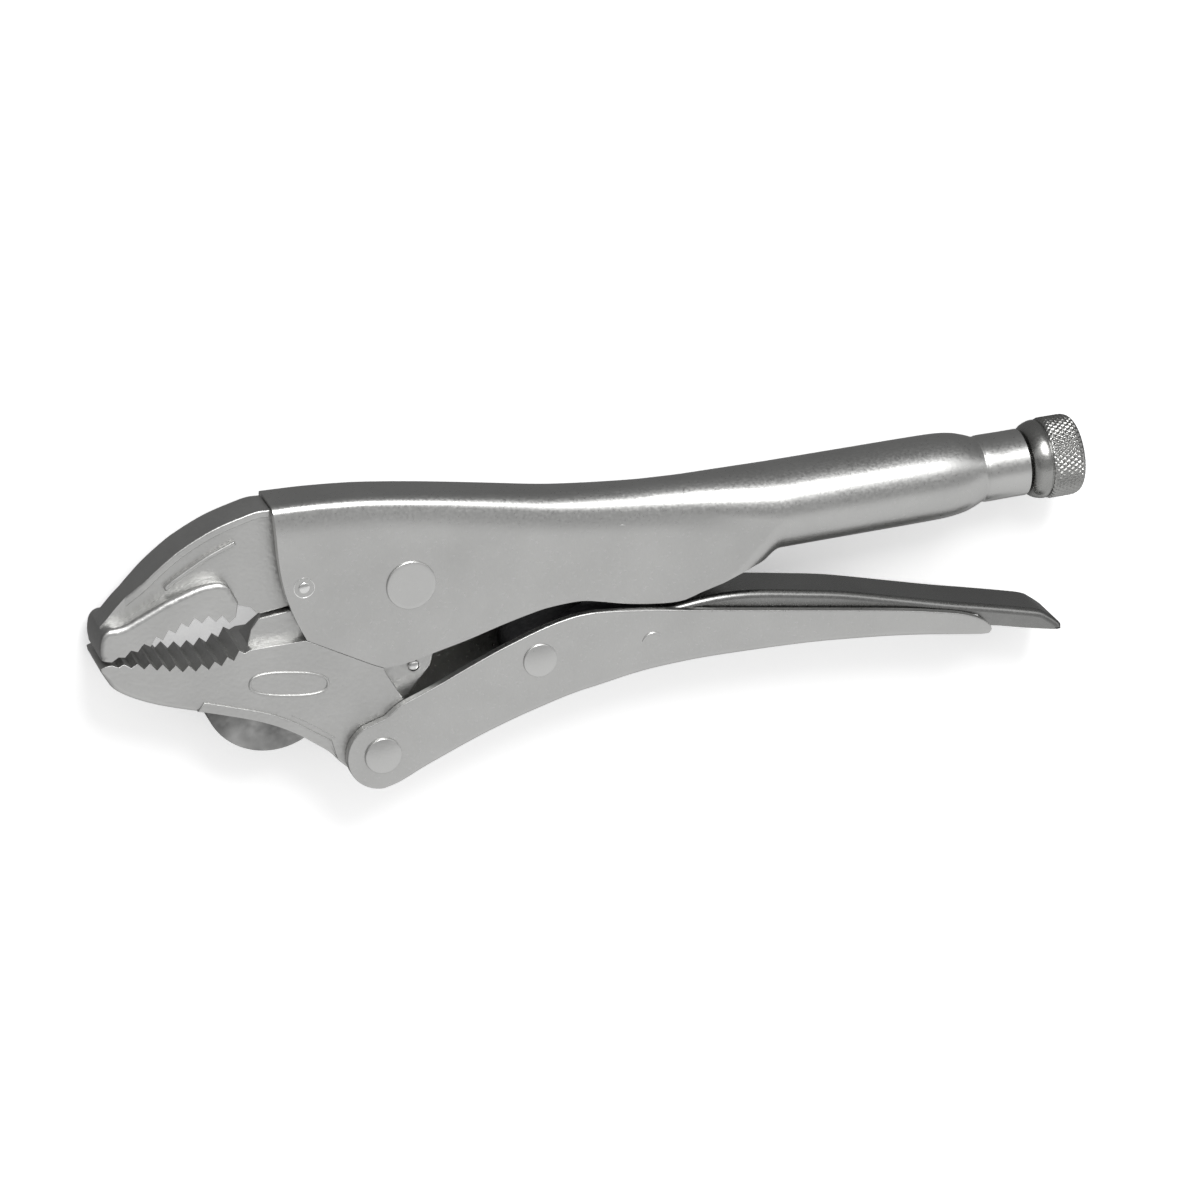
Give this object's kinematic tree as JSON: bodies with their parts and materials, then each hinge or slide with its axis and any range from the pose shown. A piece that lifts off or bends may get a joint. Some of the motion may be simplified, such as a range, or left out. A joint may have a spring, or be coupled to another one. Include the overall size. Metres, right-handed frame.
{
  "type": "locking pliers",
  "caption": "Curved-jaw locking pliers with toothed jaws, riveted channel handles, an over-centre link, a release lever and a knurled adjusting screw.",
  "frame": {"origin": "middle of the main rivet that joins the two jaws, half way through the tool's thickness", "axes": "+X from the jaws towards the knob, parallel to the adjusting screw; +Y from the lower handle towards the spine of the upper handle; +Z through the tool's thickness, so the tool lies on its side"},
  "size_m": [0.2459, 0.0738, 0.0216],
  "materials": {
    "pressed_steel": "satin nickel over pressed sheet steel, fine grained",
    "forged_steel": "satin nickel over a forging, ground at the teeth and rough on the heel",
    "rivet_steel": "nickel-plated rivet steel, smooth",
    "dark_steel": "plain oiled steel",
    "screw_steel": "plated screw steel",
    "knob_steel": "nickel-plated steel, diamond knurl",
    "spring_steel": "bright spring wire"
  },
  "bodies": {
    "upper": {"upper_handle": "pressed_steel", "upper_jaw": "forged_steel", "jaw_pin": "rivet_steel", "main_rivet": "rivet_steel", "screw_bush": "dark_steel", "spring_post": "dark_steel", "return_spring": "spring_steel"},
    "jaw": {"lower_jaw": "forged_steel", "spring_pin": "rivet_steel"},
    "handle": {"lower_handle": "pressed_steel", "handle_rivet": "rivet_steel", "link_rivet": "rivet_steel", "lever_pin": "rivet_steel", "link_spacers": "dark_steel"},
    "link": {"toggle_link": "dark_steel", "thrust_pin": "dark_steel"},
    "lever": {"release_lever": "pressed_steel"},
    "screw_end": {"screw_button": "dark_steel"},
    "screw": {"adjusting_screw": "screw_steel", "knob": "knob_steel"}
  },
  "joints": [
    {"name": "jaw_open", "type": "hinge", "parent": "upper", "child": "jaw", "pos_m": [0, 0, 0], "axis": [0, 0, 1], "range_deg": [0, 20], "deforming": ["return_spring"]},
    {"name": "handle_open", "type": "hinge", "parent": "jaw", "child": "handle", "pos_m": [-0.0102, -0.0408, 0], "axis": [0, 0, -1], "range_deg": [0, 60]},
    {"name": "link_fold", "type": "hinge", "parent": "handle", "child": "link", "pos_m": [0.0294, -0.0237, 0], "axis": [0, 0, 1], "range_deg": [0, 65]},
    {"name": "lever_press", "type": "hinge", "parent": "handle", "child": "lever", "pos_m": [0.0575, -0.0245, 0], "axis": [0, 0, -1], "range_deg": [0, 1.4]},
    {"name": "screw_travel", "type": "slide", "parent": "upper", "child": "screw_end", "axis": [1, 0, 0], "range_m": [0, 0.012]},
    {"name": "screw_turn", "type": "hinge", "parent": "screw_end", "child": "screw", "pos_m": [0.1, 0.0014, 0], "axis": [-1, 0, 0], "range_deg": [0, 2881]}
  ],
  "couplings": [
    {"joint": "handle_open", "follows": "jaw_open", "ratio": 2.5794},
    {"joint": "link_fold", "follows": "jaw_open", "ratio": 2.9129},
    {"joint": "screw_turn", "follows": "screw_travel", "rad_per_m": 4188.8}
  ]
}
